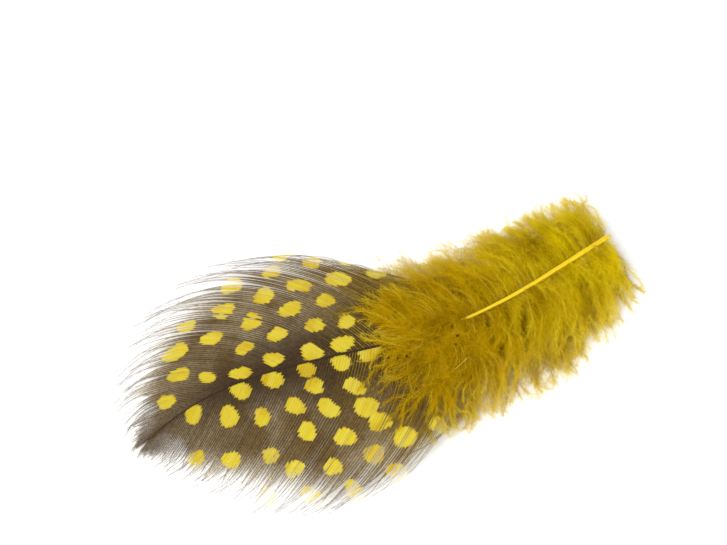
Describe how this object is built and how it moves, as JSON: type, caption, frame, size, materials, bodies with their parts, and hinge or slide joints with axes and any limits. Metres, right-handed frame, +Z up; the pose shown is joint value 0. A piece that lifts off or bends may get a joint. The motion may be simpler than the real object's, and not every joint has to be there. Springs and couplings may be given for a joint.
{
  "type": "guinea fowl feather",
  "caption": "Dyed yellow guinea fowl body feather lying flat: a curved shaft, a dark vane with yellow spots, and a wide base of soft down.",
  "frame": {"origin": "middle of the feather's bounding box on the surface that it lies on", "axes": "+X along the shaft from the quill to the vane's tip, +Z up from the surface, +Y across the vane"},
  "size_m": [0.082, 0.0464, 0.007],
  "materials": {
    "feather": null
  },
  "bodies": {
    "root": {"feather": "feather"}
  },
  "joints": []
}
